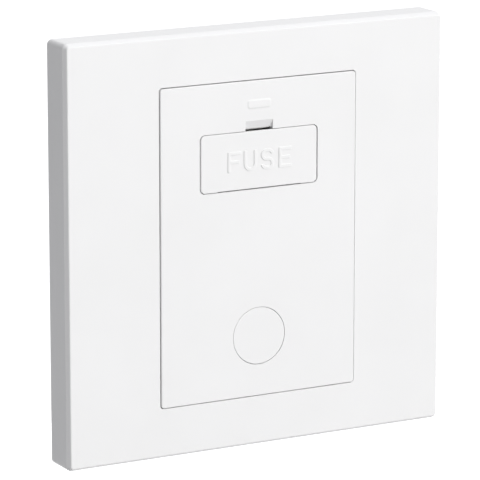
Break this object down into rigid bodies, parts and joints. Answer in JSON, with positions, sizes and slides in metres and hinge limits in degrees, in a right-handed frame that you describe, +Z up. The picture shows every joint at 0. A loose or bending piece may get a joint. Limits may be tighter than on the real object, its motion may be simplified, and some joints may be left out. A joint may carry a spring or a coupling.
{
  "type": "fused spur unit",
  "caption": "Square white wall plate with a raised centre module, a tilt-out fuse carrier with a prise slot, a round blanked flex outlet and rear screw terminals.",
  "frame": {"origin": "on the wall plane, midway between the two box fixings, at the plate's centre", "axes": "+X to the right seen from the room, +Y into the wall, +Z up; the front faces -Y"},
  "size_m": [0.086, 0.0245, 0.086],
  "materials": {
    "white_plastic": "fine satin gloss, moulded",
    "frame_plastic": "matt moulded, light grey",
    "housing_plastic": "matt moulded, off-white",
    "brass": "machined and stamped",
    "plated_caps": "nickel plated",
    "fuse_ceramic": "unglazed, off-white",
    "zinc_screws": "bright zinc plated"
  },
  "bodies": {
    "unit": {"support_frame": "frame_plastic", "module_face": "white_plastic", "flex_outlet_blank": "white_plastic", "rear_housing": "housing_plastic", "bay_dividers": "housing_plastic", "terminal_barrier": "housing_plastic", "live_supply_contact": "brass", "live_load_contact": "brass", "neutral_link": "brass", "earth_link": "brass", "live_supply_terminal": "brass", "live_load_terminal": "brass", "neutral_supply_terminal": "brass", "neutral_load_terminal": "brass", "earth_supply_terminal": "brass", "earth_load_terminal": "brass", "terminal_screws": "zinc_screws", "housing_screws": "zinc_screws", "barrier_screws": "zinc_screws", "cord_clamp_bar": "housing_plastic", "cord_clamp_screws": "zinc_screws"},
    "cover": {"cover_plate": "white_plastic"},
    "carrier": {"fuse_carrier": "white_plastic", "fuse_barrel": "fuse_ceramic", "fuse_cap_left": "plated_caps", "fuse_cap_right": "plated_caps"}
  },
  "joints": [
    {"name": "fuse_carrier_tilt", "type": "hinge", "parent": "unit", "child": "carrier", "pos_m": [0, -0.00715, 0.01369], "axis": [1, 0, 0], "range_deg": [0, 80]},
    {"name": "cover_plate_unclip", "type": "slide", "parent": "unit", "child": "cover", "axis": [0, -1, 0], "range_m": [0, 0.03]}
  ]
}
